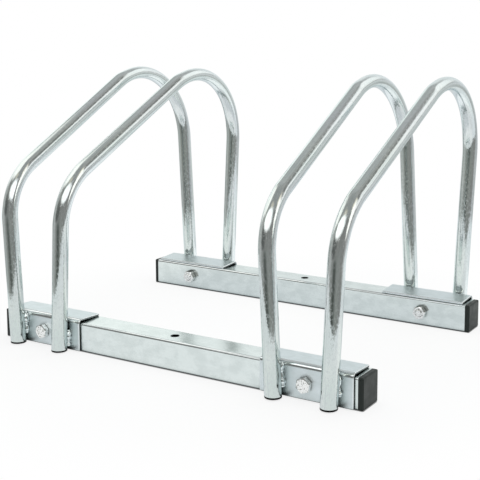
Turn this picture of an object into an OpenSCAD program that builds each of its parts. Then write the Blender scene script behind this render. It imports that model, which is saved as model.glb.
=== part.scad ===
/* [Rails] */
// Length of each square rail without its end caps
rail_len = 410; // [390:5:480]
// Distance between the centre lines of the front and rear rails
rail_spacing = 258; // [200:1:320]
// Outer width and height of the square tube
rail_w = 30; // [26:0.5:40]
// Wall thickness of the square tube
rail_wall = 1.5; // [1:0.1:2.5]
// Outer corner radius of the square tube
rail_corner = 2.5; // [2:0.1:3.5]
// Diameter of the floor-fixing hole through the middle of each rail
fixing_hole_d = 9; // [6:0.5:12]

/* [Hoops] */
// Outer diameter of the round tube
tube_d = 16; // [14:0.5:20]
// Wall thickness of the round tube
tube_wall = 1.2; // [1:0.1:2]
// Distance from each end of the rails to the middle of the nearest wheel slot
slot_inset = 50.7; // [50:0.1:60]
// Distance between the two hoops of a slot, centre to centre, at the floor
slot_pitch = 56; // [50:0.5:62]
// Angle by which each hoop leans away from its slot
hoop_lean = 2.8; // [0:0.1:4]
// Height at which the centre lines of the front leg and the slope would cross
shoulder_h = 167; // [140:1:200]
// Angle of the straight slope above level
slope_angle = 27; // [20:0.5:35]
// Centre-line radius of the bend at the shoulder
shoulder_r = 60; // [40:1:75]
// Centre-line radius of the bend at the crown
crown_r = 85; // [60:1:95]

/* [Brackets] */
// Length of each angle bracket along the rail
bracket_len = 95; // [90:1:100]
// Thickness of the bracket's sheet
sheet = 2.5; // [2:0.1:3]
// Outer radius of the bracket's bend
bend_r = 5; // [4:0.1:6]
// Angle by which the top plate slopes down to its free edge
plate_tilt = 3; // [1:0.1:4]
// Gap between the bracket's lower edge and the floor
flange_lift = 1; // [0:0.1:3]
// Radius of a weld bead
bead_r = 2.4; // [2:0.1:2.8]

/* [Fasteners] */
// Diameter of the bolt's thread
bolt_d = 8; // [6:1:10]
// Length of the bolt under its head
bolt_len = 40; // [40:1:60]
// Width across the flats of the bolt's head and of the nut
hex_flats = 13; // [13:1:17]
// Height of the bolt's head
head_h = 5.3; // [4:0.1:6.4]
// Height of the nut
nut_h = 6.5; // [5:0.1:8]

/* [Plastic caps] */
// Thickness of an end cap outside its rail
cap_head = 5; // [3:0.1:8]
// Bevel round the outer face of an end cap
cap_bevel = 1.2; // [0.5:0.1:2]
// Depth to which an end cap reaches into its rail
cap_depth = 14; // [8:1:20]
// Thickness of a foot plug below its leg
plug_head = 1.5; // [1:0.1:3]
// Depth to which a foot plug reaches into its leg
plug_depth = 12; // [8:1:20]
// Gap between the foot plugs and the floor
plug_lift = 1; // [0.5:0.1:2]

/* [Hidden] */
$fn = 64;

// Sides of the rack: the front faces -Y, and left and right are seen from there
LEFT = -1;
RIGHT = 1;
FRONT = -1;
REAR = 1;

zinc = "#c3cacb";
sheet_zinc = "#b4bdc0";
bright_zinc = "#dcdcd6";
black_plastic = "#2f3432";

// A length that makes a cut run clear of what it cuts
cut = 1;
// Play of a plastic piece in its tube
push_play = 0.1;
// Play of a bolt in the holes it passes
bolt_play = 0.5;
// Play of the nut's thread on the bolt's
thread_play = 0.05;
// Gap left where the plate's free edge comes down to the rail
rest_gap = 0.05;
// Distance from the plate's free edge to the rail's inner face
plate_setback = 1;
// A bend is this much fatter than the straight runs, which reach a little way into it
bend_swell = 0.03;
bend_overlap = 0.2;
// A bracket's bend is this much thinner on each side than its flats, which reach a little way into it
sheet_thinning = 0.01;
sheet_overlap = 0.1;
// Wall of an end cap inside its rail
cap_wall = 2;
// Bevel round the bottom of a foot plug
plug_bevel = 0.5;
// Slope of the bevels on the head, the nut and the thread's end
hex_bevel_angle = 30;
thread_bevel = 0.8;
// Twist of each hexagon about its bolt, as the photograph shows them
head_twist = 20;
left_nut_twist = 3;
right_nut_twist = -12;

rail_face = rail_spacing / 2 + rail_w / 2;
bolt_z = rail_w / 2 + 0.5;
flange_face = rail_face + sheet;
leg_y = flange_face + tube_d / 2;
tube_r = tube_d / 2;
tube_bore = tube_r - tube_wall;
foot_z = plug_lift + plug_head;

// Centre of the bracket's bend, in the bracket's profile
function bend_v() =
    let (touch_u = sheet + rail_w - rail_corner)
    rail_w + rest_gap
    - (bend_r - sheet - (touch_u - bend_r) * sin(plate_tilt)) / cos(plate_tilt);

// Lengths cut from the straight runs by the two bends
shoulder_cut = shoulder_r * tan((90 - slope_angle) / 2);
crown_cut = crown_r * tan((90 + slope_angle) / 2);
// Where the slope's centre line would cross the rear leg's
crown_corner_z = shoulder_h + 2 * leg_y * tan(slope_angle);
slope_len = 2 * leg_y / cos(slope_angle) - shoulder_cut - crown_cut;
rear_leg_h = crown_corner_z - crown_cut;

// Beads of one weld: first height, spacing and count
bead_start = 10;
bead_step = 3.6;
bead_count = 6;
// Sideways distance of a bead from its leg's centre line
bead_side = 5.6;

function slot_x(side) = side * (rail_len / 2 - slot_inset);
// Hoops of a slot stand at -1 (towards the left) and +1 (towards the right) of its middle
function hoop_x(side, hand) = slot_x(side) + hand * slot_pitch / 2;

// A square with rounded corners, centred
module rounded_square(width, radius) {
    inner = width - 2 * radius;
    union() {
        square([width, inner], center = true);
        square([inner, width], center = true);
        for (x = [-1, 1], y = [-1, 1]) {
            translate([x * inner / 2, y * inner / 2]) circle(r = radius);
        }
    }
}

// Lays a profile drawn in Y and Z out along X, centred on the origin
module along_x(length) {
    rotate([90, 0, 90]) linear_extrude(height = length, center = true) children();
}

module square_rail(end) {
    color(zinc) difference() {
        translate([0, end * rail_spacing / 2, rail_w / 2]) along_x(rail_len) difference() {
            rounded_square(rail_w, rail_corner);
            rounded_square(rail_w - 2 * rail_wall, rail_corner - rail_wall);
        }
        translate([0, end * rail_spacing / 2, -cut]) cylinder(d = fixing_hole_d, h = rail_w + 2 * cut);
        for (side = [LEFT, RIGHT]) {
            translate([slot_x(side), end * rail_spacing / 2, bolt_z]) rotate([90, 0, 0])
                cylinder(d = bolt_d + bolt_play, h = rail_w + 2 * cut, center = true);
        }
    }
}

// Profile of the cap's head seen from the side, with its outer face towards +X
module bevelled_edge() {
    half = rail_w / 2;
    polygon([
        [0, -half], [cap_head - cap_bevel, -half], [cap_head, cap_bevel - half],
        [cap_head, half - cap_bevel], [cap_head - cap_bevel, half], [0, half],
    ]);
}

module cap_body() {
    spigot_w = rail_w - 2 * rail_wall - 2 * push_play;
    intersection() {
        translate([cap_head / 2, 0, 0]) along_x(cap_head) rounded_square(rail_w, rail_corner);
        linear_extrude(height = rail_w, center = true) bevelled_edge();
        rotate([90, 0, 0]) linear_extrude(height = rail_w, center = true) bevelled_edge();
    }
    translate([-cap_depth / 2, 0, 0]) along_x(cap_depth) difference() {
        rounded_square(spigot_w, rail_corner - rail_wall);
        rounded_square(spigot_w - 2 * cap_wall, 0.5);
    }
}

module end_cap(end, side) {
    color(black_plastic)
        translate([side * rail_len / 2, end * rail_spacing / 2, rail_w / 2])
        rotate([0, 0, side == RIGHT ? 0 : 180])
        cap_body();
}

// Section of the angle bracket: its flange's outer face is at 0 and its plate runs to +X
module bracket_profile() {
    plate_len = (sheet + rail_w - plate_setback - bend_r) / cos(plate_tilt);
    translate([0, flange_lift]) square([sheet, bend_v() - flange_lift + sheet_overlap]);
    translate([bend_r, bend_v()]) {
        intersection() {
            difference() {
                circle(r = bend_r - sheet_thinning);
                circle(r = bend_r - sheet + sheet_thinning);
            }
            polygon([
                [0, 0], [-2 * bend_r, 0], [-2 * bend_r, 2 * bend_r],
                [2 * bend_r * sin(plate_tilt), 2 * bend_r * cos(plate_tilt)],
            ]);
        }
        rotate(-plate_tilt) translate([-sheet_overlap, bend_r - sheet])
            square([plate_len + sheet_overlap, sheet]);
    }
}

// Draws for the front of the rack and mirrors for its rear
module at_end(end) {
    mirror([0, end == REAR ? 1 : 0, 0]) children();
}

module bracket(end, side) {
    color(sheet_zinc) at_end(end) difference() {
        translate([slot_x(side), -flange_face, 0]) along_x(bracket_len) bracket_profile();
        translate([slot_x(side), -rail_face, bolt_z]) rotate([90, 0, 0])
            cylinder(d = bolt_d + bolt_play, h = 2 * sheet + 2 * cut, center = true);
    }
}

// Stands what is drawn round the foot of a hoop on its place, leaning away from its slot
module at_hoop(side, hand) {
    translate([hoop_x(side, hand), 0, 0]) rotate([0, hand * hoop_lean, 0]) children();
}

// Part of a round bend in the YZ plane, from one angle to another above +Y
module bent_bar(radius, bend, from, to) {
    rotate([90, 0, 90]) rotate([0, 0, from]) rotate_extrude(angle = to - from)
        translate([bend, 0]) circle(r = radius + bend_swell);
}

// A solid bar along the upright hoop's centre line, with its legs running past the floor
module hoop_bar(radius) {
    shoulder_z = shoulder_h - shoulder_cut;
    translate([0, -leg_y, -cut]) cylinder(r = radius, h = cut + shoulder_z + bend_overlap);
    translate([0, shoulder_r - leg_y, shoulder_z])
        bent_bar(radius, shoulder_r, 90 + slope_angle, 180);
    translate([0, -leg_y, shoulder_h]) rotate([slope_angle - 90, 0, 0])
        translate([0, 0, shoulder_cut - bend_overlap])
        cylinder(r = radius, h = slope_len + 2 * bend_overlap);
    translate([0, leg_y - crown_r, rear_leg_h])
        bent_bar(radius, crown_r, 0, 90 + slope_angle);
    translate([0, leg_y, -cut]) cylinder(r = radius, h = cut + rear_leg_h + bend_overlap);
}

module below(z) {
    translate([-rail_len, -rail_len, z - 2 * rail_w]) cube([2 * rail_len, 2 * rail_len, 2 * rail_w]);
}

module hoop(side, hand) {
    color(zinc) difference() {
        at_hoop(side, hand) hoop_bar(tube_r);
        at_hoop(side, hand) hoop_bar(tube_bore);
        below(foot_z);
    }
}

module foot_plug(side, hand, end) {
    color(black_plastic) {
        difference() {
            at_hoop(side, hand) translate([0, end * leg_y, 0]) intersection() {
                cylinder(r = tube_r, h = 2 * foot_z);
                translate([0, 0, plug_lift])
                    cylinder(r1 = tube_r - plug_bevel, r2 = tube_r + foot_z, h = plug_bevel + foot_z);
            }
            below(plug_lift);
            translate([0, 0, foot_z + 2 * rail_w]) below(0);
        }
        difference() {
            at_hoop(side, hand) translate([0, end * leg_y, 0])
                cylinder(r = tube_bore - push_play, h = foot_z + plug_depth);
            below(foot_z);
        }
    }
}

// One lumpy weld bead in the corner between a leg and the flange
module weld_bead(side, hand, edge) {
    difference() {
        at_hoop(side, hand) for (i = [0 : bead_count - 1]) {
            wobble = 0.12 * sin(i * 137 + edge * 50 + hand * 20);
            translate([edge * bead_side, -flange_face - 1, bead_start + i * bead_step])
                sphere(r = bead_r * (1 + wobble));
        }
        at_hoop(side, hand) translate([0, -leg_y, 0]) cylinder(r = tube_r, h = 2 * rail_w);
        translate([-rail_len, -flange_face, -cut]) cube([2 * rail_len, 2 * sheet, 2 * rail_w]);
    }
}

module welds(end, side) {
    color(bright_zinc) at_end(end) {
        for (hand = [-1, 1], edge = [-1, 1]) {
            weld_bead(side, hand, edge);
        }
    }
}

// A hexagon standing on the XY plane with its upper corners bevelled
module hex_block(height) {
    corner_r = hex_flats / 2 / cos(30);
    bevel_drop = (corner_r - hex_flats / 2) * tan(hex_bevel_angle);
    intersection() {
        cylinder(r = corner_r, h = height, $fn = 6);
        union() {
            cylinder(r = corner_r + cut, h = height - bevel_drop);
            translate([0, 0, height - bevel_drop])
                cylinder(r1 = corner_r, r2 = hex_flats / 2, h = bevel_drop);
        }
    }
}

module bolt(end, side) {
    color(bright_zinc) at_end(end) translate([slot_x(side), -flange_face, bolt_z]) {
        rotate([90, 0, 0]) rotate(head_twist) hex_block(head_h);
        rotate([-90, 0, 0]) {
            cylinder(d = bolt_d, h = bolt_len - thread_bevel);
            translate([0, 0, bolt_len - thread_bevel])
                cylinder(d1 = bolt_d, d2 = bolt_d - 2 * thread_bevel, h = thread_bevel);
        }
    }
}

module nut(end, side) {
    color(bright_zinc) at_end(end)
        translate([slot_x(side), rail_w - rail_face, bolt_z]) rotate([-90, 0, 0]) difference() {
            rotate(side == LEFT ? left_nut_twist : right_nut_twist) hex_block(nut_h);
            translate([0, 0, -cut]) cylinder(d = bolt_d + 2 * thread_play, h = nut_h + 2 * cut);
        }
}

square_rail(FRONT);  // rail_front
square_rail(REAR);  // rail_rear
end_cap(FRONT, LEFT);  // cap_front_left
end_cap(FRONT, RIGHT);  // cap_front_right
end_cap(REAR, LEFT);  // cap_rear_left
end_cap(REAR, RIGHT);  // cap_rear_right
bracket(FRONT, LEFT);  // bracket_front_left
bracket(FRONT, RIGHT);  // bracket_front_right
bracket(REAR, LEFT);  // bracket_rear_left
bracket(REAR, RIGHT);  // bracket_rear_right
hoop(LEFT, -1);  // hoop_left_outer
hoop(LEFT, 1);  // hoop_left_inner
hoop(RIGHT, -1);  // hoop_right_inner
hoop(RIGHT, 1);  // hoop_right_outer
foot_plug(LEFT, -1, FRONT);  // plug_left_outer_front
foot_plug(LEFT, -1, REAR);  // plug_left_outer_rear
foot_plug(LEFT, 1, FRONT);  // plug_left_inner_front
foot_plug(LEFT, 1, REAR);  // plug_left_inner_rear
foot_plug(RIGHT, -1, FRONT);  // plug_right_inner_front
foot_plug(RIGHT, -1, REAR);  // plug_right_inner_rear
foot_plug(RIGHT, 1, FRONT);  // plug_right_outer_front
foot_plug(RIGHT, 1, REAR);  // plug_right_outer_rear
welds(FRONT, LEFT);  // weld_front_left
welds(FRONT, RIGHT);  // weld_front_right
welds(REAR, LEFT);  // weld_rear_left
welds(REAR, RIGHT);  // weld_rear_right
bolt(FRONT, LEFT);  // bolt_front_left
bolt(FRONT, RIGHT);  // bolt_front_right
bolt(REAR, LEFT);  // bolt_rear_left
bolt(REAR, RIGHT);  // bolt_rear_right
nut(FRONT, LEFT);  // nut_front_left
nut(FRONT, RIGHT);  // nut_front_right
nut(REAR, LEFT);  // nut_rear_left
nut(REAR, RIGHT);  // nut_rear_right
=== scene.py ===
import math

import bmesh
import bpy
from mathutils import Matrix, Vector, noise


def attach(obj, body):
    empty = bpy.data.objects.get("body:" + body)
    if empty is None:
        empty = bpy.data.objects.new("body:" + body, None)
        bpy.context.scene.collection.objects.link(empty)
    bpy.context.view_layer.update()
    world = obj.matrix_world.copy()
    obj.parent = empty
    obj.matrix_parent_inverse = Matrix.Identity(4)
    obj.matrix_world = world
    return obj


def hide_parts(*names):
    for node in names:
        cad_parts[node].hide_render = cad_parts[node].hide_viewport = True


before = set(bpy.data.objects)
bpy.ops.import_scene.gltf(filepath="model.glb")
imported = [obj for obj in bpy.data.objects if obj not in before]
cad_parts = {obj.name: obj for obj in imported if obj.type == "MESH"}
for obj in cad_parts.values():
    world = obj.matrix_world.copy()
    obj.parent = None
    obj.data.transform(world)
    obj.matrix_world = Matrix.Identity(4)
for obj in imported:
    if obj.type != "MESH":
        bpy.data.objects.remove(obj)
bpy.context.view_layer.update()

# Driving sizes of the rack, in metres, as in the part's source
MM = 0.001
RAIL_LEN = 410 * MM
RAIL_SPACING = 258 * MM
RAIL_W = 30 * MM
RAIL_CORNER = 2.5 * MM
TUBE_D = 16 * MM
TUBE_WALL = 1.2 * MM
SLOT_INSET = 50.7 * MM
SLOT_PITCH = 56 * MM
HOOP_LEAN = math.radians(2.8)
SHOULDER_H = 167 * MM
SLOPE_ANGLE = math.radians(27)
SHOULDER_R = 60 * MM
CROWN_R = 85 * MM
SHEET = 2.5 * MM
BOLT_D = 8 * MM
BOLT_RAISE = 0.5 * MM
PLUG_LIFT = 1 * MM
PLUG_HEAD = 1.5 * MM
# The tubes are sawn off a little short of the plug's head, which shows as a black rim
PLUG_RIM = 0.4 * MM

RAIL_FACE = RAIL_SPACING / 2 + RAIL_W / 2
FLANGE_FACE = RAIL_FACE + SHEET
LEG_Y = FLANGE_FACE + TUBE_D / 2
TUBE_R = TUBE_D / 2
SLOT_X = RAIL_LEN / 2 - SLOT_INSET
BOLT_Z = RAIL_W / 2 + BOLT_RAISE
FOOT_Z = PLUG_LIFT + PLUG_HEAD
TUBE_END_Z = FOOT_Z + PLUG_RIM

SIDES = {"left": -1, "right": 1}
ENDS = {"front": -1, "rear": 1}


def hoop_places():
    """Name, slot side and hand of each hoop. Its hand is the side of the slot on which it stands."""
    for side_name, side in SIDES.items():
        for place, hand in (("outer", side), ("inner", -side)):
            yield f"{side_name}_{place}", side, hand


def bracket_places():
    """Name, end of the rack and slot side of each bracket, with its bolt, nut and welds."""
    for end_name, end in ENDS.items():
        for side_name, side in SIDES.items():
            yield f"{end_name}_{side_name}", end, side


# General helpers

def eased(share):
    """A share held between 0 and 1 that starts and ends smoothly."""
    share = min(1.0, max(0.0, share))
    return share * share * (3 - 2 * share)


def turns_round(steps):
    """Angles of evenly spaced points round a circle."""
    return [2 * math.pi * i / steps for i in range(steps)]


def mesh_from(work, name):
    """A new mesh from finished bmesh work."""
    mesh = bpy.data.meshes.new(name)
    work.to_mesh(mesh)
    work.free()
    return mesh


def add_object(name, data):
    made = bpy.data.objects.new(name, data)
    bpy.context.scene.collection.objects.link(made)
    return made


# Camera, fitted to the photograph

CAMERA_PLACE = Vector((0.5800, -0.9111, 0.3388))
CAMERA_YAW = math.radians(30.285)
CAMERA_PITCH = math.radians(-7.479)
CAMERA_ROLL = math.radians(0.08)
FOCAL_PIXELS = 1031.2
IMAGE_SIZE = 480
IMAGE_CENTRE = (285, 150)
SENSOR_MM = 36


def add_camera():
    ahead = Vector((
        -math.sin(CAMERA_YAW) * math.cos(CAMERA_PITCH),
        math.cos(CAMERA_YAW) * math.cos(CAMERA_PITCH),
        math.sin(CAMERA_PITCH),
    ))
    right = Vector((math.cos(CAMERA_YAW), math.sin(CAMERA_YAW), 0))
    up = right.cross(ahead)
    data = bpy.data.cameras.new("camera")
    data.sensor_width = SENSOR_MM
    data.lens = FOCAL_PIXELS * SENSOR_MM / IMAGE_SIZE
    data.shift_x = (IMAGE_SIZE / 2 - IMAGE_CENTRE[0]) / IMAGE_SIZE
    data.shift_y = (IMAGE_CENTRE[1] - IMAGE_SIZE / 2) / IMAGE_SIZE
    camera = add_object("camera", data)
    turn = Matrix((right, up, -ahead)).transposed().to_4x4()
    camera.matrix_world = Matrix.Translation(CAMERA_PLACE) @ turn @ Matrix.Rotation(CAMERA_ROLL, 4, "Z")
    bpy.context.scene.camera = camera


def set_view():
    bpy.context.scene.view_settings.view_transform = "Standard"


# Node helpers

OPENNESS_SAMPLES = 8


def add_node(tree, kind, values=None, **settings):
    """Adds a node. Values go to its inputs, where a socket is linked and anything else is set."""
    made = tree.nodes.new(kind)
    for name, value in settings.items():
        setattr(made, name, value)
    for name, value in (values or {}).items():
        socket = made.inputs[name]
        if isinstance(value, bpy.types.NodeSocket):
            tree.links.new(value, socket)
        else:
            socket.default_value = value
    return made


def ramp_value(tree, value, low, high, at_low=0.0, at_high=1.0):
    """Value taken smoothly from at_low to at_high while the input goes from low to high."""
    made = add_node(tree, "ShaderNodeMapRange", {
        "Value": value, "From Min": low, "From Max": high, "To Min": at_low, "To Max": at_high,
    }, interpolation_type="SMOOTHSTEP")
    return made.outputs["Result"]


def mix_colour(tree, factor, first, second):
    """The first colour where the factor is 0, and the second where it is 1."""
    made = add_node(tree, "ShaderNodeMix", {0: factor, 6: first, 7: second}, data_type="RGBA")
    return made.outputs[2]


def maths(tree, operation, *terms):
    made = add_node(tree, "ShaderNodeMath", dict(enumerate(terms)), operation=operation)
    return made.outputs[0]


def noise_value(tree, place, scale, detail=2.0, roughness=0.5):
    made = add_node(tree, "ShaderNodeTexNoise", {
        "Vector": place, "Scale": scale, "Detail": detail, "Roughness": roughness,
    })
    return made.outputs["Fac"]


def stretched(tree, place, scale):
    made = add_node(tree, "ShaderNodeMapping", {"Vector": place, "Scale": scale})
    return made.outputs["Vector"]


def distance_out(tree, place):
    """Distance of a place from the middle of its coordinates."""
    made = add_node(tree, "ShaderNodeVectorMath", {0: place}, operation="LENGTH")
    return made.outputs["Value"]


def openness(tree, reach):
    """Share of the surroundings with nothing within reach, which is low in corners and gaps."""
    made = add_node(tree, "ShaderNodeAmbientOcclusion", {"Distance": reach}, samples=OPENNESS_SAMPLES)
    return made.outputs["AO"]


def end_tree(tree, output_kind, share, first, second):
    """Ends a node tree with the first shader where the share is 0, and the second where it is 1."""
    chosen = add_node(tree, "ShaderNodeMixShader", {0: share, 1: first.outputs[0], 2: second.outputs[0]})
    add_node(tree, output_kind, {"Surface": chosen.outputs[0]})


def empty_material(name):
    """A material whose node tree has nothing in it yet."""
    material = bpy.data.materials.new(name)
    material.use_nodes = True
    material.node_tree.nodes.clear()
    return material


def grey(level):
    return (level, level, level, 1)


# The studio's room: pale surfaces and a darker front, as the bright tubes in the photograph show them

# Elevations in degrees at which the room turns to ceiling and to floor, and half the width of each change
CEILING_EDGE = 44
CEILING_BLUR = 8
FLOOR_EDGE = -42
FLOOR_BLUR = 8
ROOM_WALL = (0.27, 0.27, 0.26, 1)
ROOM_CEILING = (0.36, 0.37, 0.365, 1)
ROOM_FLOOR = (1.00, 1.02, 1.03, 1)

# Patches of the room: colour, azimuth and elevation of the middle, half width and half height, and softness.
# All angles are in degrees
ROOM_PATCHES = (
    ((0.50, 0.51, 0.50, 1), (-80, -4), (46, 34), 0.5),
    ((0.29, 0.30, 0.285, 1), (14, -17), (60, 22), 0.35),
    ((0.09, 0.10, 0.09, 1), (2, -24), (20, 22), 0.75),
    ((0.82, 0.83, 0.83, 1), (-168, -11), (44, 28), 0.35),
    ((0.55, 0.56, 0.56, 1), (135, -12), (31, 26), 0.35),
    ((0.72, 0.74, 0.74, 1), (146, 0), (22, 9), 0.5),
    ((1.12, 1.15, 1.15, 1), (-178, -37), (46, 14), 0.3),
    ((0.50, 0.51, 0.51, 1), (-160, 60), (60, 24), 0.4),
    ((0.41, 0.41, 0.40, 1), (122, 64), (36, 20), 0.4),
    ((0.27, 0.27, 0.26, 1), (116, 46), (24, 12), 0.35),
    ((1.10, 1.10, 1.08, 1), (140, 25), (40, 12.5), 0.2),
    ((1.20, 1.21, 1.20, 1), (156, 36), (24, 16), 0.25),
    ((1.00, 1.02, 1.02, 1), (-155, 15), (40, 25), 0.45),
    ((1.37, 1.40, 1.36, 1), (-120, 17), (22, 15), 0.6),
    ((0.13, 0.135, 0.13, 1), (-32, 13), (26, 11), 0.5),
    ((0.95, 0.88, 0.72, 1), (88, 50), (10, 9), 0.4),
    ((1.50, 1.48, 1.38, 1), (92, 26), (13, 23), 0.25),
    ((0.66, 0.62, 0.53, 1), (-8, 63), (30, 6), 0.5),
)


def towards(azimuth, elevation):
    """Direction from the rack. Azimuth 0 is in front, and 90 to the right."""
    azimuth = math.radians(azimuth)
    elevation = math.radians(elevation)
    return Vector((
        math.sin(azimuth) * math.cos(elevation),
        -math.cos(azimuth) * math.cos(elevation),
        math.sin(elevation),
    ))


def room_patch(tree, bearing, height, room, colour, place, half, softness):
    """The room with one soft round patch. Bearing and height of the seen direction are in degrees."""
    aside = maths(tree, "WRAP", maths(tree, "SUBTRACT", bearing, place[0]), 180.0, -180.0)
    aside = maths(tree, "POWER", maths(tree, "DIVIDE", aside, half[0]), 2.0)
    above = maths(tree, "DIVIDE", maths(tree, "SUBTRACT", height, place[1]), half[1])
    above = maths(tree, "POWER", above, 2.0)
    reach = maths(tree, "SQRT", maths(tree, "ADD", aside, above))
    return mix_colour(tree, ramp_value(tree, reach, 1 + softness, 1 - softness), room, colour)


def room_colour(tree):
    """Colour of the room in each direction."""
    direction = add_node(tree, "ShaderNodeTexCoord").outputs["Generated"]
    parts = add_node(tree, "ShaderNodeSeparateXYZ", {"Vector": direction})
    ahead = maths(tree, "MULTIPLY", parts.outputs["Y"], -1.0)
    bearing = maths(tree, "DEGREES", maths(tree, "ARCTAN2", parts.outputs["X"], ahead))
    height = maths(tree, "DEGREES", maths(tree, "ARCSINE", parts.outputs["Z"]))
    ceiling = ramp_value(tree, height, CEILING_EDGE - CEILING_BLUR, CEILING_EDGE + CEILING_BLUR)
    room = mix_colour(tree, ceiling, ROOM_WALL, ROOM_CEILING)
    for patch in ROOM_PATCHES:
        room = room_patch(tree, bearing, height, room, *patch)
    floor = ramp_value(tree, height, FLOOR_EDGE + FLOOR_BLUR, FLOOR_EDGE - FLOOR_BLUR)
    return mix_colour(tree, floor, room, ROOM_FLOOR)


def set_world():
    """The room lights the rack and shows in its metal, and the camera sees plain white."""
    world = bpy.data.worlds.new("studio")
    world.use_nodes = True
    bpy.context.scene.world = world
    tree = world.node_tree
    tree.nodes.clear()
    lit = add_node(tree, "ShaderNodeBackground", {"Color": room_colour(tree), "Strength": 1.0})
    white = add_node(tree, "ShaderNodeBackground", {"Color": grey(1), "Strength": 1.0})
    path = add_node(tree, "ShaderNodeLightPath")
    end_tree(tree, "ShaderNodeOutputWorld", path.outputs["Is Camera Ray"], lit, white)


# Lamps, and panels that only show in the metal

# The point that lamps look at, and panels that have no aim of their own
LAMP_AIM = Vector((0, 0, 0.12))
PANEL_CORNERS = 64


def place_facing(lamp, place, back):
    """Places a lamp or panel with its back towards a direction."""
    lamp.location = place
    lamp.rotation_mode = "QUATERNION"
    lamp.rotation_quaternion = back.to_track_quat("Z", "Y")


def panel_material(name, half, softness, colour, strength):
    material = empty_material(name)
    tree = material.node_tree
    place = add_node(tree, "ShaderNodeTexCoord").outputs["Object"]
    reach = distance_out(tree, stretched(tree, place, (1 / half[0], 1 / half[1], 1)))
    share = ramp_value(tree, reach, 1 + softness, 1 - softness)
    clear = add_node(tree, "ShaderNodeBsdfTransparent")
    light = add_node(tree, "ShaderNodeEmission", {"Color": colour, "Strength": strength})
    end_tree(tree, "ShaderNodeOutputMaterial", share, clear, light)
    return material


def add_panel(name, centre, half, softness, colour, strength, aim=LAMP_AIM):
    """An oval of light near the rack, with soft edges, that is only seen in the metal."""
    work = bmesh.new()
    outline = []
    for turn in turns_round(PANEL_CORNERS):
        outline.append(work.verts.new((math.cos(turn) * half[0] * (1 + softness),
                                       math.sin(turn) * half[1] * (1 + softness), 0)))
    work.faces.new(outline)
    mesh = mesh_from(work, name)
    mesh.materials.append(panel_material(name, half, softness, colour, strength))
    panel = add_object(name, mesh)
    place_facing(panel, centre, (Vector(centre) - Vector(aim)).normalized())
    panel.visible_camera = False
    panel.visible_diffuse = False
    panel.visible_shadow = False


def add_softbox(name, azimuth, elevation, distance, width, height, radiance):
    """A rectangular lamp that only gives light: the metal sees panels and patches instead."""
    back = towards(azimuth, elevation)
    data = bpy.data.lights.new(name, "AREA")
    data.shape = "RECTANGLE"
    data.size = width
    data.size_y = height
    data.energy = radiance * math.pi * width * height
    lamp = add_object(name, data)
    place_facing(lamp, back * distance + LAMP_AIM, back)
    lamp.visible_glossy = False


def add_lights():
    add_softbox("softbox_front", azimuth=8, elevation=40, distance=1.7, width=1.35, height=1.35, radiance=0.9)
    add_panel("panel_front", centre=(0.06, -0.572, 0.550), half=(0.45, 0.19), softness=0.25,
              colour=(1, 1, 0.99, 1), strength=1.5)
    add_panel("panel_left", centre=(-0.719, -0.076, 0.629), half=(0.20, 0.336), softness=0.3,
              colour=(1, 0.99, 0.97, 1), strength=1.2)
    add_panel("panel_over", centre=(-0.40, -0.16, 0.56), half=(0.20, 0.19), softness=0.35,
              colour=(1, 0.99, 0.95, 1), strength=1.35, aim=(-0.12, -0.14, 0.17))
    add_softbox("softbox_left", azimuth=-97, elevation=36, distance=1.5, width=0.45, height=1.0, radiance=1.2)
    add_softbox("softbox_top", azimuth=180, elevation=82, distance=1.6, width=1.3, height=1.3, radiance=2.3)


# Floor: a disc of white paper that reaches further behind the rack than in front of it

FLOOR_FRONT_R = 0.43
FLOOR_REAR_R = 0.70
FLOOR_CORNERS = 96
# Degrees from the front at which the disc starts to widen, and those that the widening takes
FLOOR_WIDENS = 78
FLOOR_WIDENING = 40
FLOOR_PAPER = (0.90, 0.92, 0.93, 1)

# What the metal sees of the paper: painted light in a strip inside the front rail and behind the rack,
# painted shade under the rack's rear half, and a painted shadow where things stand close. A pair of places is
# where a change starts and ends, in metres
FLOOR_SEEN = (0.84, 0.86, 0.865, 1)
STRIP_PAINTED_LIGHT = (1.00, 1.01, 1.00, 1)
STRIP_Y = -0.065
STRIP_HALF = (0.04, 0.11)
REAR_PAINTED_SHADE = (0.69, 0.72, 0.74, 1)
REAR_FRONT_Y = (-0.03, 0.03)
REAR_SIDE_X = (0.24, 0.17)
BEHIND_PAINTED_LIGHT = (1.14, 1.17, 1.17, 1)
BEHIND_FRONT_Y = (0.15, 0.21)
BEHIND_BACK_Y = (0.38, 0.33)
FAR_SEEN = (0.90, 0.94, 0.95, 1)
FAR_START_R = (0.34, 0.50)
SHADE_SEEN = (0.08, 0.085, 0.085, 1)
SHADE_REACH = 6 * MM
SHADE_OPENNESS = (0.35, 0.9)

# A thin painted contact shadow: the dark line that the camera sees where something touches the paper
CONTACT_SHADOW = grey(0.28)
CONTACT_REACH = 1.1 * MM
CONTACT_OPENNESS = (0.45, 0.9)

# Near the rack this share of the paper is plain light and the rest takes shadow. Between these distances from
# the middle it all turns to plain light
LIGHT_SHARE = 0.85
SHADOW_END_R = (0.24, 0.40)


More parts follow.
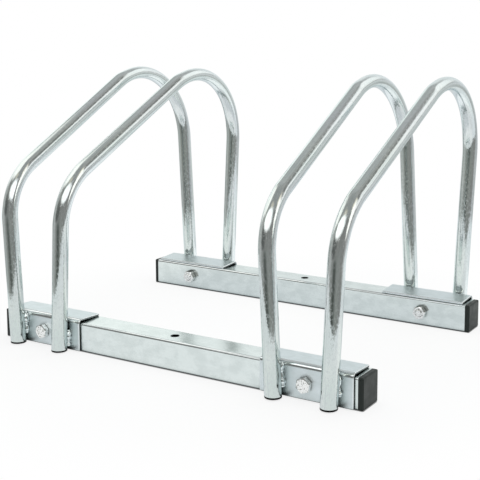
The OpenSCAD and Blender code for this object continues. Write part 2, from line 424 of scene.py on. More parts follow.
def paper_in_metal(tree, place, reach):
    """Colour of the paper in reflections, painted with light and shade by place and with a painted shadow
    near things.
    """
    parts = add_node(tree, "ShaderNodeSeparateXYZ", {"Vector": place})
    depth = parts.outputs["Y"]
    aside = maths(tree, "ABSOLUTE", parts.outputs["X"])
    off_strip = maths(tree, "ABSOLUTE", maths(tree, "SUBTRACT", depth, STRIP_Y))
    colour = mix_colour(tree, ramp_value(tree, off_strip, *STRIP_HALF), STRIP_PAINTED_LIGHT, FLOOR_SEEN)
    rear = maths(tree, "MULTIPLY", ramp_value(tree, depth, *REAR_FRONT_Y),
                 ramp_value(tree, aside, *REAR_SIDE_X))
    colour = mix_colour(tree, rear, colour, REAR_PAINTED_SHADE)
    behind = maths(tree, "MULTIPLY", ramp_value(tree, depth, *BEHIND_FRONT_Y),
                   ramp_value(tree, depth, *BEHIND_BACK_Y))
    colour = mix_colour(tree, behind, colour, BEHIND_PAINTED_LIGHT)
    colour = mix_colour(tree, ramp_value(tree, reach, *FAR_START_R), colour, FAR_SEEN)
    shaded = ramp_value(tree, openness(tree, SHADE_REACH), *SHADE_OPENNESS)
    return mix_colour(tree, shaded, SHADE_SEEN, colour)


def floor_material():
    """White paper. Camera and metal see most of it as plain light, and the rest keeps the rack's shadow."""
    material = empty_material("floor_paper")
    tree = material.node_tree
    place = add_node(tree, "ShaderNodeTexCoord").outputs["Object"]
    reach = distance_out(tree, place)
    path = add_node(tree, "ShaderNodeLightPath")
    # The camera sees plain light with a painted contact shadow, and the metal sees the painted paper
    touched = ramp_value(tree, openness(tree, CONTACT_REACH), *CONTACT_OPENNESS)
    plain = mix_colour(tree, touched, CONTACT_SHADOW, grey(1))
    colour = mix_colour(tree, path.outputs["Is Camera Ray"], paper_in_metal(tree, place, reach), plain)
    paper = add_node(tree, "ShaderNodeBsdfDiffuse", {"Color": FLOOR_PAPER})
    white = add_node(tree, "ShaderNodeEmission", {"Color": colour, "Strength": 1.0})
    shown = ramp_value(tree, reach, *SHADOW_END_R, at_low=LIGHT_SHARE)
    seen = maths(tree, "MAXIMUM", path.outputs["Is Camera Ray"], path.outputs["Is Glossy Ray"])
    end_tree(tree, "ShaderNodeOutputMaterial", maths(tree, "MULTIPLY", shown, seen), paper, white)
    return material


def add_floor():
    work = bmesh.new()
    corners = []
    for i in range(FLOOR_CORNERS):
        azimuth = 360 * i / FLOOR_CORNERS - 180
        share = eased((abs(azimuth) - FLOOR_WIDENS) / FLOOR_WIDENING)
        radius = FLOOR_FRONT_R + (FLOOR_REAR_R - FLOOR_FRONT_R) * share
        corners.append(work.verts.new(towards(azimuth, 0) * radius))
    work.faces.new(corners)
    bmesh.ops.recalc_face_normals(work, faces=work.faces)
    mesh = mesh_from(work, "floor")
    mesh.materials.append(floor_material())
    floor = add_object("floor", mesh)


# Materials of the rack. Scales of noise are per metre

# Tints of the metal's reflections at a grazing angle, on round and on flat steel
EDGE_TINT = (0.82, 0.845, 0.86, 1)
FLAT_EDGE_TINT = (0.72, 0.74, 0.74, 1)
# Painted shade in crevices, and fainter painted shade in wide corners, with how far each reaches
CREVICE_SHADE = (0.07, 0.068, 0.06, 1)
CREVICE = 2 * MM
CORNER_SHADE = (0.32, 0.36, 0.36, 1)
CORNER = 9 * MM
# Values of a noise between which a tint and a gloss change over
TINT_CHANGE = (0.35, 0.65)
GLOSS_CHANGE = (0.3, 0.7)

# Pairs of tints that drift along the tube, in its darker and its paler clouds
TUBE_DARK = ((0.70, 0.775, 0.75, 1), (0.73, 0.765, 0.79, 1))
TUBE_PALE = ((0.77, 0.825, 0.795, 1), (0.79, 0.82, 0.84, 1))
TUBE_LINE = (0.60, 0.67, 0.67, 1)
TUBE_GRAIN = (0.68, 0.73, 0.725, 1)
# The grain stands out less round this place along the tube, on the hoop's slope, than on its legs
FINE_GRAIN_MIDDLE = 0.30
FINE_GRAIN_HALF = (0.10, 0.16)
FINE_GRAIN = 0.6
COARSE_GRAIN = 2.3
# Share of the rolling streaks in the tone of flat steel. Blotches make up the rest
STREAK_SHARE = 0.1


def new_surface(name, metallic):
    """A material with its node tree, its shader and the coordinates of its surface."""
    material = bpy.data.materials.new(name)
    material.use_nodes = True
    tree = material.node_tree
    shader = tree.nodes["Principled BSDF"]
    shader.inputs["Metallic"].default_value = metallic
    place = add_node(tree, "ShaderNodeTexCoord")
    return material, tree, shader, place


def link_surface(tree, shader, colour, roughness):
    tree.links.new(colour, shader.inputs["Base Color"])
    tree.links.new(roughness, shader.inputs["Roughness"])


def add_bump(tree, shader, height, distance):
    made = add_node(tree, "ShaderNodeBump", {"Height": height, "Distance": distance, "Strength": 1.0})
    tree.links.new(made.outputs["Normal"], shader.inputs["Normal"])


def with_painted_crevice_shade(tree, colour, reach, painted_shade, closed=0.15, free=0.65):
    """Darkens a colour with painted shade in corners and gaps. At an openness of closed
    all is painted shade, and at free all is metal."""
    return mix_colour(tree, ramp_value(tree, openness(tree, reach), closed, free), painted_shade, colour)


def zinc_tube_material():
    """Drawn tube with a glossy zinc layer. Its UV map runs round the tube and along it, both in metres."""
    material, tree, shader, place = new_surface("zinc_tube", 1.0)
    skin = place.outputs["UV"]
    clouds = noise_value(tree, stretched(tree, skin, (1, 0.25, 1)), scale=90.0, detail=3.0)
    grain = noise_value(tree, stretched(tree, skin, (1, 0.4, 1)), scale=620.0, roughness=0.6)
    lines = noise_value(tree, stretched(tree, skin, (1, 0.03, 1)), scale=520.0, detail=1.0)
    drift = noise_value(tree, stretched(tree, skin, (1, 0.2, 1)), scale=45.0, detail=1.0)
    tint = ramp_value(tree, drift, *TINT_CHANGE)
    dark = mix_colour(tree, tint, *TUBE_DARK)
    pale = mix_colour(tree, tint, *TUBE_PALE)
    colour = mix_colour(tree, ramp_value(tree, clouds, *TINT_CHANGE), dark, pale)
    colour = mix_colour(tree, ramp_value(tree, lines, low=0.28, high=0.42), TUBE_LINE, colour)
    colour = mix_colour(tree, ramp_value(tree, grain, low=0.36, high=0.54), TUBE_GRAIN, colour)
    smooth = ramp_value(tree, clouds, *GLOSS_CHANGE, at_low=0.06, at_high=0.10)
    dull = ramp_value(tree, grain, low=0.50, high=0.62, at_high=0.15)
    # Painted shade darkens the tube in crevices where it meets other parts
    link_surface(tree, shader, with_painted_crevice_shade(tree, colour, CREVICE, CREVICE_SHADE), maths(tree, "ADD", smooth, dull))
    shader.inputs["Specular Tint"].default_value = EDGE_TINT
    along = add_node(tree, "ShaderNodeSeparateXYZ", {"Vector": skin}).outputs["Y"]
    off_slope = maths(tree, "ABSOLUTE", maths(tree, "SUBTRACT", along, FINE_GRAIN_MIDDLE))
    coarse = ramp_value(tree, off_slope, *FINE_GRAIN_HALF, at_low=FINE_GRAIN, at_high=COARSE_GRAIN)
    add_bump(tree, shader, maths(tree, "ADD", lines, maths(tree, "MULTIPLY", grain, coarse)), 0.02 * MM)
    return material


def zinc_flat_material(name, dark, pale, roughness):
    """Satin zinc on flat steel, with rolling streaks along X, faint blotches and painted shade in corners and
    crevices.
    """
    material, tree, shader, place = new_surface(name, 1.0)
    body = place.outputs["Object"]
    blotches = noise_value(tree, stretched(tree, body, (0.7, 1, 1)), scale=95.0, detail=3.0, roughness=0.6)
    streaks = noise_value(tree, stretched(tree, body, (0.02, 1, 1)), scale=420.0, detail=1.0)
    tone = maths(tree, "ADD", maths(tree, "MULTIPLY", blotches, 1 - STREAK_SHARE),
                 maths(tree, "MULTIPLY", streaks, STREAK_SHARE))
    colour = mix_colour(tree, ramp_value(tree, tone, *TINT_CHANGE), dark, pale)
    # Painted shade: faint in wide corners and dark in crevices
    colour = with_painted_crevice_shade(tree, colour, CORNER, CORNER_SHADE, closed=0.25, free=0.85)
    colour = with_painted_crevice_shade(tree, colour, CREVICE, CREVICE_SHADE)
    link_surface(tree, shader, colour, ramp_value(tree, blotches, *GLOSS_CHANGE, *roughness))
    shader.inputs["Specular Tint"].default_value = FLAT_EDGE_TINT
    add_bump(tree, shader, streaks, 0.003 * MM)
    return material


def cut_steel_material(name, dark, pale, roughness):
    """Sheared edges of the sheet: dull, with lines across the sheet, and dark with painted shade."""
    material, tree, shader, place = new_surface(name, 1.0)
    lines = noise_value(tree, stretched(tree, place.outputs["Object"], (1, 1, 0.2)), scale=900.0)
    link_surface(tree, shader, mix_colour(tree, lines, dark, pale),
                 ramp_value(tree, lines, *GLOSS_CHANGE, *roughness))
    return material


def bright_zinc_material(name, dark, pale, stain, roughness, corner):
    """Bright plating with soft clouds, small stains, a fine unevenness and painted shade in its corners."""
    material, tree, shader, place = new_surface(name, 1.0)
    body = place.outputs["Object"]
    clouds = noise_value(tree, body, scale=300.0)
    stains = noise_value(tree, body, scale=800.0)
    colour = mix_colour(tree, ramp_value(tree, clouds, *TINT_CHANGE), dark, pale)
    colour = mix_colour(tree, ramp_value(tree, stains, low=0.36, high=0.47), stain, colour)
    # Painted shade darkens the plating in its corners and gaps
    link_surface(tree, shader, with_painted_crevice_shade(tree, colour, corner, CREVICE_SHADE),
                 ramp_value(tree, clouds, *GLOSS_CHANGE, *roughness))
    add_bump(tree, shader, noise_value(tree, body, scale=700.0, detail=1.0), 0.01 * MM)
    return material


def black_plastic_material(name, dark, pale, shine, roughness):
    """Moulded plastic with faint clouds and a fine grain."""
    material, tree, shader, place = new_surface(name, 0.0)
    shader.inputs["Specular IOR Level"].default_value = shine
    body = place.outputs["Object"]
    clouds = noise_value(tree, body, scale=140.0, detail=3.0)
    link_surface(tree, shader, mix_colour(tree, clouds, dark, pale),
                 ramp_value(tree, clouds, *GLOSS_CHANGE, *roughness))
    add_bump(tree, shader, noise_value(tree, body, scale=2600.0), 0.03 * MM)
    return material


TUBE_ZINC = zinc_tube_material()
RAIL_ZINC = zinc_flat_material(
    "zinc_rail", dark=(0.75, 0.81, 0.80, 1), pale=(0.85, 0.91, 0.90, 1), roughness=(0.17, 0.23))
SHEET_ZINC = zinc_flat_material(
    "zinc_sheet", dark=(0.705, 0.775, 0.79, 1), pale=(0.805, 0.875, 0.90, 1), roughness=(0.34, 0.42))
# Glossier zinc for bends and rounded corners, paler as a painted highlight
HIGHLIGHT_ZINC = zinc_flat_material(
    "zinc_bend_painted_highlight", dark=(0.80, 0.85, 0.86, 1), pale=(0.88, 0.92, 0.93, 1), roughness=(0.08, 0.12))
# The sheared ends are dull steel made dark with painted shade
SHADED_CUT_STEEL = cut_steel_material(
    "cut_steel_painted_shade", dark=(0.05, 0.055, 0.052, 1), pale=(0.13, 0.14, 0.135, 1), roughness=(0.40, 0.55))
BRIGHT_ZINC = bright_zinc_material(
    "bright_zinc", dark=(0.90, 0.91, 0.90, 1), pale=(0.99, 0.99, 0.98, 1), stain=(0.44, 0.45, 0.43, 1),
    roughness=(0.10, 0.16), corner=0.5 * MM)
WELD_METAL = bright_zinc_material(
    "weld_metal", dark=(0.80, 0.88, 0.89, 1), pale=(0.91, 0.98, 0.99, 1), stain=(0.72, 0.80, 0.80, 1),
    roughness=(0.06, 0.14), corner=CREVICE)
CAP_PLASTIC = black_plastic_material(
    "cap_plastic", dark=(0.0105, 0.0155, 0.0138, 1), pale=(0.018, 0.0252, 0.0225, 1), shine=0.32,
    roughness=(0.40, 0.52))
PLUG_PLASTIC = black_plastic_material(
    "plug_plastic", dark=(0.003, 0.004, 0.004, 1), pale=(0.006, 0.007, 0.007, 1), shine=0.12,
    roughness=(0.40, 0.52))


# Piece building

# Angles in degrees above which an edge stays crisp, by kind of surface
ROUND_SHARP = 40
FLAT_SHARP = 32
HEX_SHARP = 28
SEAM_SHARP = 70
# Points of a new mesh that are nearer than this are one point
SAME_POINT = 0.0001 * MM
ROUNDING_STEPS = 3


def finish_mesh(mesh, sharp_angle):
    """Smooth shading, with edges sharper than the angle kept crisp."""
    for face in mesh.polygons:
        face.use_smooth = True
    mesh.set_sharp_from_angle(angle=math.radians(sharp_angle))


def add_piece(name, mesh, material, slot, *nodes):
    mesh.materials.clear()
    mesh.materials.append(material)
    piece = add_object(name, mesh)
    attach(piece, "root")
    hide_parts(*nodes)
    return piece


def write_uvs(mesh, rows, count, uvs):
    """Gives the quads of a skin their UV map. The function uvs has the place of each row and column."""
    layer = mesh.uv_layers.new(name="UVMap")
    for number in range(rows * count):
        row, i = divmod(number, count)
        corners = ((row, i), (row, i + 1), (row + 1, i + 1), (row + 1, i))
        for loop, corner in zip(mesh.polygons[number].loop_indices, corners):
            layer.data[loop].uv = uvs(*corner)


def ring_mesh(name, rings, closed_line=False, uvs=None):
    """A skin over rings of points, all of one length. A closed line joins the last ring to the first, and an
    open one gets a flat face on each end ring."""
    count = len(rings[0])
    points = [point for ring in rings for point in ring]
    faces = []
    rows = len(rings) if closed_line else len(rings) - 1
    for row in range(rows):
        this = row * count
        after = (row + 1) % len(rings) * count
        for i in range(count):
            j = (i + 1) % count
            faces.append((this + i, this + j, after + j, after + i))
    if not closed_line:
        faces.append(tuple(reversed(range(count))))
        faces.append(tuple(range(rows * count, len(points))))
    mesh = bpy.data.meshes.new(name)
    mesh.from_pydata(points, [], faces)
    if uvs:
        write_uvs(mesh, rows, count, uvs)
    return mesh


def outward(mesh):
    """Turns all faces outwards and welds double points."""
    work = bmesh.new()
    work.from_mesh(mesh)
    bmesh.ops.remove_doubles(work, verts=work.verts, dist=SAME_POINT)
    bmesh.ops.recalc_face_normals(work, faces=work.faces)
    work.to_mesh(mesh)
    work.free()
    return mesh


def apply_modifiers(piece):
    """Makes the evaluated shape the piece's own mesh."""
    graph = bpy.context.evaluated_depsgraph_get()
    mesh = bpy.data.meshes.new_from_object(piece.evaluated_get(graph))
    piece.modifiers.clear()
    piece.data = mesh


def round_edges(piece, radius, material_index=0):
    """Rounds the crisp edges of a piece with flat sides."""
    bevel = piece.modifiers.new("rounded edges", "BEVEL")
    bevel.width = radius
    bevel.segments = ROUNDING_STEPS
    bevel.limit_method = "ANGLE"
    bevel.angle_limit = math.radians(FLAT_SHARP)
    bevel.material = material_index
    even = piece.modifiers.new("even shading", "WEIGHTED_NORMAL")
    even.keep_sharp = True


def cut_level(ring, direction, height):
    """Moves a ring's points along the tube to one height."""
    return [point + direction * ((height - point.z) / direction.z) for point in ring]


def lean(side, hand):
    """Stands what is made round an upright hoop's foot on its place."""
    place = side * SLOT_X + hand * SLOT_PITCH / 2
    return Matrix.Translation((place, 0, 0)) @ Matrix.Rotation(hand * HOOP_LEAN, 4, "Y")


def tube_direction(matrix):
    """Direction of a leaning hoop's legs."""
    return matrix.to_3x3() @ Vector((0, 0, 1))


# Hoops: bent tube, a little flattened in its bends

AROUND = 64
BEND_STEP = math.radians(2)
STRAIGHT_STEP = 10 * MM
UP = math.pi / 2
DOWN = -UP
# Shares of the tube's radius by which it is flattened in its two bends, and the turn over which that starts
SHOULDER_FLAT = 0.07
CROWN_FLAT = 0.11
FLAT_RUN_IN = math.radians(14)
# Shares of the flattening that the tube bulges sideways, and that its middle moves to the inside of the bend
SIDE_BULGE = 0.3
INWARD_MOVE = 0.6


def straight_run(y, z, heading, length):
    """Stations along a straight length of tube, with both its ends."""
    steps = max(1, round(length / STRAIGHT_STEP))
    stations = []
    for i in range(steps + 1):
        run = length * i / steps
        stations.append((y + run * math.cos(heading), z + run * math.sin(heading), heading, 0.0))
    return stations


def bend_run(y, z, radius, start, end, flatness):
    """Stations round a bend about the point (y, z), without its ends."""
    turn = start - end
    steps = math.ceil(turn / BEND_STEP)
    stations = []
    for i in range(1, steps):
        done = turn * i / steps
        heading = start - done
        flat = flatness * eased(min(done, turn - done) / FLAT_RUN_IN)
        stations.append((y - radius * math.sin(heading), z + radius * math.cos(heading), heading, flat))
    return stations


def hoop_line():
    """Stations (y, z, heading, flatness) along the upright hoop, from its front foot to its rear foot."""
    shoulder_cut = SHOULDER_R * math.tan((UP - SLOPE_ANGLE) / 2)
    crown_cut = CROWN_R * math.tan((UP + SLOPE_ANGLE) / 2)
    shoulder_z = SHOULDER_H - shoulder_cut
    rear_leg_h = SHOULDER_H + 2 * LEG_Y * math.tan(SLOPE_ANGLE) - crown_cut
    slope_y = -LEG_Y + shoulder_cut * math.cos(SLOPE_ANGLE)
    slope_z = SHOULDER_H + shoulder_cut * math.sin(SLOPE_ANGLE)
    slope_len = 2 * LEG_Y / math.cos(SLOPE_ANGLE) - shoulder_cut - crown_cut
    return (
        straight_run(-LEG_Y, FOOT_Z, UP, shoulder_z - FOOT_Z)
        + bend_run(SHOULDER_R - LEG_Y, shoulder_z, SHOULDER_R, UP, SLOPE_ANGLE, SHOULDER_FLAT)
        + straight_run(slope_y, slope_z, SLOPE_ANGLE, slope_len)
        + bend_run(LEG_Y - CROWN_R, rear_leg_h, CROWN_R, SLOPE_ANGLE, DOWN, CROWN_FLAT)
        + straight_run(LEG_Y, rear_leg_h, DOWN, rear_leg_h - FOOT_Z)
    )


def tube_ring(station, radius):
    """Points round the tube at a station. A bend's outer side is pulled in and its sides bulge a little."""
    y, z, heading, flat = station
    across = Vector((0, -math.sin(heading), math.cos(heading)))
    centre = Vector((0, y, z)) - across * TUBE_R * flat * INWARD_MOVE
    points = []
    for turn in turns_round(AROUND):
        sideways = radius * (1 + SIDE_BULGE * flat) * math.cos(turn)
        outwards = radius * (1 - flat) * math.sin(turn)
        points.append(centre + Vector((sideways, 0, 0)) + across * outwards)
    return points


def hoop_skin(stations, radius, matrix):
    """Rings of the leaning tube's outer or inner surface, with its ends sawn off level."""
    rings = [[matrix @ point for point in tube_ring(station, radius)] for station in stations]
    for end in (0, -1):
        rings[end] = cut_level(rings[end], tube_direction(matrix), TUBE_END_Z)
    return rings


def hoop_mesh(name, side, hand):
    stations = hoop_line()
    matrix = lean(side, hand)
    outer = hoop_skin(stations, TUBE_R, matrix)
    inner = hoop_skin(stations, TUBE_R - TUBE_WALL, matrix)
    along = [0.0]
    for before, after in zip(stations, stations[1:]):
        along.append(along[-1] + math.hypot(after[0] - before[0], after[1] - before[1]))
    runs = along + list(reversed(along))

    def uvs(row, column):
        return (column / AROUND * 2 * math.pi * TUBE_R, runs[row % len(runs)])

    mesh = ring_mesh(name, outer + list(reversed(inner)), closed_line=True, uvs=uvs)
    outward(mesh)
    finish_mesh(mesh, ROUND_SHARP)
    return mesh


def add_hoops():
    for name, side, hand in hoop_places():
        mesh = hoop_mesh(f"tube_{name}", side, hand)
        add_piece(f"tube_{name}", mesh, TUBE_ZINC, "zinc_tube", f"hoop_{name}")


# Rails and end caps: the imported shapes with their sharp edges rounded

RAIL_EDGE = 0.2 * MM
CAP_EDGE = 0.8 * MM
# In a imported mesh, points nearer than this are one point, and faces within this angle are one face
PACKED_POINT = 0.002 * MM
PACKED_FLAT = math.radians(0.5)
# A face with more than this of its normal along an axis looks along it
LOOKS_ALONG = 0.99
# A rail's lengthwise face has less than this of its normal along the rail
LENGTHWISE = 0.1
HIGHLIGHT_INDEX = 1


def finished_copy(node_name, edge_radius, material, slot):
    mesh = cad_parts[node_name].data.copy()
    work = bmesh.new()
    work.from_mesh(mesh)
    bmesh.ops.remove_doubles(work, verts=work.verts, dist=PACKED_POINT)
    bmesh.ops.dissolve_limit(work, angle_limit=PACKED_FLAT, verts=work.verts, edges=work.edges)
    work.to_mesh(mesh)
    work.free()
    piece = add_piece(f"finished_{node_name}", mesh, material, slot, node_name)
    finish_mesh(mesh, FLAT_SHARP)
    round_edges(piece, edge_radius)
    return piece


def highlight_corners(mesh):
    """Gives the rounded corners along a rail the glossier metal, which is also paler as a painted highlight.
    """
    mesh.materials.append(HIGHLIGHT_ZINC)
    for face in mesh.polygons:
        flattest = max(abs(face.normal.y), abs(face.normal.z))
        if abs(face.normal.x) < LENGTHWISE and flattest < LOOKS_ALONG:
            face.material_index = HIGHLIGHT_INDEX


def add_rails_and_caps():
    for end in ENDS:
        rail = finished_copy(f"rail_{end}", RAIL_EDGE, RAIL_ZINC, "zinc_tube")
        highlight_corners(rail.data)
        for side in SIDES:
            finished_copy(f"cap_{end}_{side}", CAP_EDGE, CAP_PLASTIC, "black_plastic")


# Brackets: bent sheet that stands a hair off the rail, with softened cut edges

BRACKET_LEN = 95 * MM
BEND_R = 5 * MM
BRACKET_BEND_STEPS = 12
PLATE_TILT = math.radians(3)
FLANGE_LIFT = 1 * MM
PLATE_SETBACK = 1 * MM
REST_GAP = 0.05 * MM
FLANGE_GAP = 0.35 * MM
SHEET_EDGE = 0.8 * MM
HOLE_PLAY = 0.5 * MM
HOLE_D = BOLT_D + HOLE_PLAY
HOLE_STEPS = 48
HOLE_CUT = 3 * SHEET
SHEARED_INDEX = 1
BEND_INDEX = 2
# A face of the bend has more than this of its normal both outwards and upwards
BEND_TURNED = 0.15


def bend_centre():
    """Height of the bend's middle, at which the sloping plate comes down on the rail's inner corner."""
    touch = SHEET + RAIL_W - RAIL_CORNER
    drop = BEND_R - SHEET - (touch - BEND_R) * math.sin(PLATE_TILT)
    return RAIL_W + REST_GAP - drop / math.cos(PLATE_TILT)


def arc(middle, radius, turns):
    return [middle + radius * Vector((math.cos(turn), math.sin(turn))) for turn in turns]


def bracket_outline():
    """Corners of the bracket's section: inwards from the flange's outer face, and up."""
    inner_r = BEND_R - SHEET
    plate_len = (SHEET + RAIL_W - PLATE_SETBACK - BEND_R) / math.cos(PLATE_TILT)
    along = Vector((math.cos(PLATE_TILT), -math.sin(PLATE_TILT)))
    rise = Vector((math.sin(PLATE_TILT), math.cos(PLATE_TILT)))
    middle = Vector((BEND_R, bend_centre()))
    bend = math.pi / 2 + PLATE_TILT
    turns = [math.pi - bend * i / BRACKET_BEND_STEPS for i in range(BRACKET_BEND_STEPS + 1)]
    outer = arc(middle, BEND_R, turns)
    inner = arc(middle, inner_r + FLANGE_GAP, reversed(turns))
    plate_end = [middle + along * plate_len + rise * r for r in (BEND_R, inner_r)]
    foot = [Vector((SHEET - FLANGE_GAP, FLANGE_LIFT)), Vector((0, FLANGE_LIFT))]
    return outer + plate_end + inner + foot


def cut_hole(piece, place, diameter, length):
    """Bores a round hole along Y."""
    work = bmesh.new()
    turn = Matrix.Translation(place) @ Matrix.Rotation(math.pi / 2, 4, "X")
    bmesh.ops.create_cone(work, cap_ends=True, segments=HOLE_STEPS, radius1=diameter / 2,
                          radius2=diameter / 2, depth=length, matrix=turn)
    bore = add_object("bore", mesh_from(work, "bore"))
    cut = piece.modifiers.new("bore", "BOOLEAN")
    cut.operation = "DIFFERENCE"
    cut.object = bore
    cut.solver = "EXACT"
    apply_modifiers(piece)
    bpy.data.objects.remove(bore)


def finish_sheet_faces(mesh):
    """Gives the sheet's sheared ends, which face along X, and its bend their own materials: dark with painted
    shade on the ends, and glossier and paler with a painted highlight on the bend.
    """
    mesh.materials.append(SHADED_CUT_STEEL)
    mesh.materials.append(HIGHLIGHT_ZINC)
    for face in mesh.polygons:
        if abs(face.normal.x) > LOOKS_ALONG:
            face.material_index = SHEARED_INDEX
        elif abs(face.normal.y) > BEND_TURNED and face.normal.z > BEND_TURNED:
            face.material_index = BEND_INDEX


def add_brackets():
    for place, end, side in bracket_places():
        middle = side * SLOT_X
        rings = []
        for x in (middle - BRACKET_LEN / 2, middle + BRACKET_LEN / 2):
            rings.append([Vector((x, end * (FLANGE_FACE - p.x), p.y)) for p in bracket_outline()])
        mesh = outward(ring_mesh(f"sheet_{place}", rings))
        piece = add_piece(f"sheet_{place}", mesh, SHEET_ZINC, "zinc_sheet", f"bracket_{place}")
        cut_hole(piece, (middle, end * (FLANGE_FACE - SHEET / 2), BOLT_Z), HOLE_D, HOLE_CUT)
        finish_mesh(piece.data, FLAT_SHARP)
        finish_sheet_faces(piece.data)
        # The rounded edges take the glossier metal, paler as a painted highlight
        round_edges(piece, SHEET_EDGE, BEND_INDEX)


# Bolts and nuts

HEX_FLATS = 13 * MM
HEX_FACE_R = 12.3 * MM / 2
HEX_CORNER_TRIM = 0.12 * MM
HEX_BEVEL = math.radians(30)
HEX_STEPS = 72
HEAD_H = 5.3 * MM
HEAD_TWIST = math.radians(20)
# The dish in the head's top: shares of the face's radius, and depths there
HEAD_DISH = ((0.55, 0.12 * MM), (0.82, 0.05 * MM))
HEAD_RIM = 0.15 * MM
HEAD_RIM_DROP = 0.02 * MM
HEAD_WASHER_H = 0.4 * MM
HEAD_WASHER_R = HEX_FACE_R * 0.97
NUT_H = 6.5 * MM
NUT_BORE = 8.1 * MM
NUT_SINK = 0.5 * MM
NUT_TWIST = {SIDES["left"]: math.radians(-3), SIDES["right"]: math.radians(12)}
BOLT_LEN = 40 * MM
THREAD_LEN = 24 * MM
THREAD_START = BOLT_LEN - THREAD_LEN
THREAD_PITCH = 1.25 * MM
THREAD_DEPTH = 0.65 * MM
THREAD_BEVEL = 0.8 * MM
# Above 1, this leaves flat crests
THREAD_STEEPNESS = 1.25
RINGS_PER_TURN = 8


def hex_radius(turn):
    """Distance from a hexagon's middle to its side, with its corners trimmed a little."""
    corner = HEX_FLATS / 2 / math.cos(math.pi / 6)
    beyond = (turn % (math.pi / 3)) - math.pi / 6
    return min(HEX_FLATS / 2 / math.cos(beyond), corner - HEX_CORNER_TRIM)


def bevel_drop(turn):
    """Depth of the cone-shaped bevel below a hexagon's end face at its side."""
    return max(0.0, hex_radius(turn) - HEX_FACE_R) * math.tan(HEX_BEVEL)


def circle_ring(radius, z, steps):
    """Points round a circle. Its radius and height may be functions of the turn."""
    ring = []
    for turn in turns_round(steps):
        r = radius(turn) if callable(radius) else radius
        height = z(turn) if callable(z) else z
        ring.append(Vector((r * math.cos(turn), r * math.sin(turn), height)))
    return ring


def thread_radius(z, turn):
    """Radius of the thread's surface, running out smoothly towards its start."""
    phase = (z / THREAD_PITCH - turn / (2 * math.pi)) % 1.0
    height = 1 - abs(2 * phase - 1)
    depth = THREAD_DEPTH * min(1.0, max(0.0, (z - THREAD_START) / THREAD_PITCH))
    bevel = max(0.0, z - (BOLT_LEN - THREAD_BEVEL))
    return min(BOLT_D / 2 - depth * (1 - min(1.0, THREAD_STEEPNESS * height)), BOLT_D / 2 - bevel)


def bolt_mesh(name):
    """A bolt along -Z with its head's bearing face at zero."""
    profile = [(HEX_FACE_R * share, HEAD_H - depth) for share, depth in HEAD_DISH]
    profile += [
        (HEX_FACE_R - HEAD_RIM, HEAD_H),
        (HEX_FACE_R, HEAD_H - HEAD_RIM_DROP),
        (hex_radius, lambda turn: HEAD_H - bevel_drop(turn)),
        (hex_radius, HEAD_WASHER_H),
        (HEAD_WASHER_R, HEAD_WASHER_H),
        (HEAD_WASHER_R, 0),
        (BOLT_D / 2, 0),
        (BOLT_D / 2, -THREAD_START),
    ]
    rings = [circle_ring(radius, z, HEX_STEPS) for radius, z in profile]
    count = math.ceil(THREAD_LEN / THREAD_PITCH * RINGS_PER_TURN)
    for i in range(1, count + 1):
        z = THREAD_START + THREAD_LEN * i / count
        rings.append(circle_ring(lambda turn: thread_radius(z, -turn), -z, HEX_STEPS))
    mesh = outward(ring_mesh(name, rings))
    finish_mesh(mesh, HEX_SHARP)
    return mesh


def nut_mesh(name):
    """A nut standing on the XY plane."""
    profile = [
        (NUT_BORE / 2, NUT_SINK),
        (NUT_BORE / 2 + NUT_SINK, 0),
        (HEX_FACE_R, 0),
        (hex_radius, bevel_drop),
        (hex_radius, lambda turn: NUT_H - bevel_drop(turn)),
        (HEX_FACE_R, NUT_H),
        (NUT_BORE / 2 + NUT_SINK, NUT_H),
        (NUT_BORE / 2, NUT_H - NUT_SINK),
    ]
    rings = [circle_ring(radius, z, HEX_STEPS) for radius, z in profile]
    mesh = outward(ring_mesh(name, rings, closed_line=True))
    finish_mesh(mesh, HEX_SHARP)
    return mesh


def add_fasteners():
    for place, end, side in bracket_places():
        # Local Z points away from the rack for the head and into it for the nut
        outwards = Matrix.Rotation(math.pi / 2 * -end, 4, "X")
        inwards = Matrix.Rotation(math.pi / 2 * end, 4, "X")
        head = bolt_mesh(f"fastener_bolt_{place}")
        head.transform(Matrix.Translation((side * SLOT_X, end * FLANGE_FACE, BOLT_Z)) @ outwards
                       @ Matrix.Rotation(HEAD_TWIST, 4, "Z"))
        add_piece(f"fastener_bolt_{place}", head, BRIGHT_ZINC, "bright_zinc", f"bolt_{place}")
        nut = nut_mesh(f"fastener_nut_{place}")
        nut.transform(Matrix.Translation((side * SLOT_X, end * (RAIL_FACE - RAIL_W), BOLT_Z)) @ inwards
                      @ Matrix.Rotation(NUT_TWIST[side], 4, "Z"))
        add_piece(f"fastener_nut_{place}", nut, BRIGHT_ZINC, "bright_zinc", f"nut_{place}")


# Weld beads: rippled seams in the corners between the legs and the flanges

BEAD_R = 2.7 * MM
BEAD_TIP_R = 0.02 * MM
BEAD_STEPS = 20
BEAD_RING_STEP = 0.35 * MM
# Places of a bead's middle, sideways from the leg's middle and out from the flange
BEAD_SIDE = 5.7 * MM
BEAD_OUT = 1.1 * MM
RIPPLE_PITCH = 4.2 * MM
RIPPLE_DEPTH = 0.24
# A high power keeps the bead thick up to its rounded ends
END_POWER = 9
# Unevenness along a seam: its strength, how often it changes per metre, and where in the noise it is read
RIPPLE_NOISE = (0.9, 160, (0, 0))
SIZE_NOISE = (0.9, 150, (9, 0))
SWAY_NOISE = (1.0 * MM, 190, (0, 9))
SKIN_NOISE = 0.10
SKIN_PER_METRE = 420
# Steps in the noise from one slot, hoop, side of the leg and end of the rack to the next
SLOT_SEED, HOOP_SEED, EDGE_SEED, END_SEED = 3.1, 1.7, 5.3, 7.9
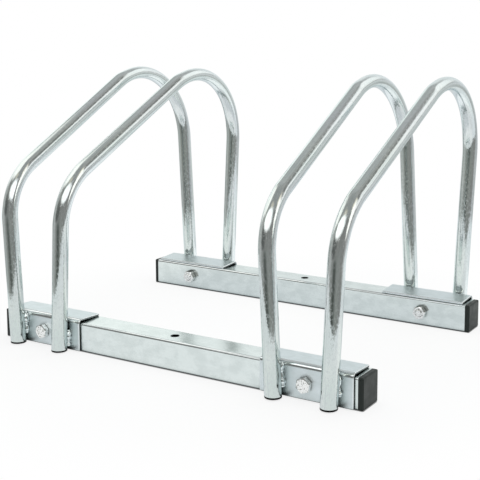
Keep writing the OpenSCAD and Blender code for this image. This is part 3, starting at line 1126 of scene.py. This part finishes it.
# Heights between which each seam runs, by slot side and hoop hand
SEAM_RUNS = {
    (-1, -1): (8.5 * MM, 33 * MM),
    (-1, 1): (4.5 * MM, 23 * MM),
    (1, -1): (8 * MM, 32.5 * MM),
    (1, 1): (11 * MM, 30.5 * MM),
}


def uneven(seed, z, strength, per_metre, lane):
    """Smooth noise along a seam."""
    return strength * noise.noise(seed + Vector((*lane, z * per_metre)))


def bead_ring(seed, z, share, edge, end):
    """Points round a bead at a height. The share goes from 0 to 1 along the seam."""
    taper = math.sqrt(max(0.0, 1 - abs(2 * share - 1) ** END_POWER))
    ripple = abs(math.sin(math.pi * (z / RIPPLE_PITCH + uneven(seed, z, *RIPPLE_NOISE))))
    size = BEAD_R * (1 - RIPPLE_DEPTH + RIPPLE_DEPTH * ripple) * (1 + uneven(seed, z, *SIZE_NOISE))
    size = max(size * taper, BEAD_TIP_R)
    sway = uneven(seed, z, *SWAY_NOISE)
    centre = Vector((edge * (BEAD_SIDE + sway), end * (FLANGE_FACE + BEAD_OUT), z))
    ring = []
    for turn in turns_round(BEAD_STEPS):
        across = Vector((math.cos(turn), math.sin(turn), 0))
        bump = 1 + SKIN_NOISE * noise.noise(seed + across + Vector((0, 0, z * SKIN_PER_METRE)))
        ring.append(centre + across * size * bump)
    return ring


def bead_mesh(side, hand, edge, end):
    """A seam of overlapping ripples that wanders a little, rounded at both ends."""
    low, high = SEAM_RUNS[(side, hand)]
    matrix = lean(side, hand)
    seed = Vector((side * SLOT_SEED + hand * HOOP_SEED, edge * EDGE_SEED, end * END_SEED))
    count = math.ceil((high - low) / BEAD_RING_STEP)
    rings = []
    for i in range(count + 1):
        share = i / count
        ring = bead_ring(seed, low + (high - low) * share, share, edge, end)
        rings.append([matrix @ point for point in ring])
    return outward(ring_mesh("bead", rings))


def add_welds():
    for place, end, side in bracket_places():
        work = bmesh.new()
        for hand in (-1, 1):
            for edge in (-1, 1):
                bead = bead_mesh(side, hand, edge, end)
                work.from_mesh(bead)
                bpy.data.meshes.remove(bead)
        mesh = mesh_from(work, f"seam_{place}")
        finish_mesh(mesh, SEAM_SHARP)
        add_piece(f"seam_{place}", mesh, WELD_METAL, "weld_metal", f"weld_{place}")


# Foot plugs: turned shapes with a domed foot and two ribs that grip the tube

PLUG_STEPS = 48
PLUG_DEPTH = 12 * MM
PLUG_PLAY = 0.1 * MM
RIB_R = TUBE_R - TUBE_WALL - PLUG_PLAY
PLUG_FILLET = 0.35 * MM
FILLET_STEPS = 4
# The foot is flat in its middle, and rises a little to the start of its rounded rim
FOOT_FLAT_R = TUBE_R * 0.45
FOOT_RIM_R = TUBE_R - PLUG_FILLET - 0.3 * MM
FOOT_RISE = 0.02 * MM
FILLET_RISE = 0.1
RIB_HEIGHTS = (3 * MM, 7 * MM)
RIB_OUT = 0.08 * MM
RIB_SLOPE = 0.4 * MM
RIB_LEN = 1 * MM
PLUG_TIP = 1 * MM


def plug_profile():
    """Radii and heights of the plug from its foot up, with zero at the top of its head's nominal height."""
    foot = -PLUG_HEAD
    stem = RIB_R - RIB_OUT
    profile = [(FOOT_FLAT_R, foot), (FOOT_RIM_R, foot + FOOT_RISE)]
    for i in range(FILLET_STEPS + 1):
        turn = math.pi / 2 * i / FILLET_STEPS
        profile.append((TUBE_R - PLUG_FILLET * (1 - math.sin(turn)),
                        foot + PLUG_FILLET * (1 + FILLET_RISE - math.cos(turn))))
    profile += [(TUBE_R, PLUG_RIM), (stem, PLUG_RIM)]
    for height in RIB_HEIGHTS:
        profile += [
            (stem, height),
            (RIB_R, height + RIB_SLOPE),
            (RIB_R, height + RIB_LEN),
            (stem, height + RIB_LEN + RIB_SLOPE),
        ]
    profile += [(stem, PLUG_DEPTH - PLUG_TIP), (RIB_R - PLUG_TIP, PLUG_DEPTH)]
    return profile


def plug_mesh(name, side, hand, end):
    matrix = lean(side, hand)
    stand = Matrix.Translation((0, end * LEG_Y, FOOT_Z))
    rings = []
    for radius, height in plug_profile():
        ring = [matrix @ (stand @ point) for point in circle_ring(radius, height, PLUG_STEPS)]
        if height <= PLUG_RIM:
            ring = cut_level(ring, tube_direction(matrix), FOOT_Z + height)
        rings.append(ring)
    mesh = outward(ring_mesh(name, rings))
    finish_mesh(mesh, ROUND_SHARP)
    return mesh


def add_plugs():
    for hoop, side, hand in hoop_places():
        for end_name, end in ENDS.items():
            name = f"{hoop}_{end_name}"
            add_piece(f"foot_{name}", plug_mesh(f"foot_{name}", side, hand, end), PLUG_PLASTIC,
                      "black_plastic", f"plug_{name}")


add_camera()
set_view()
set_world()
add_floor()
add_lights()

add_hoops()
add_rails_and_caps()
add_brackets()
add_fasteners()
add_welds()
add_plugs()
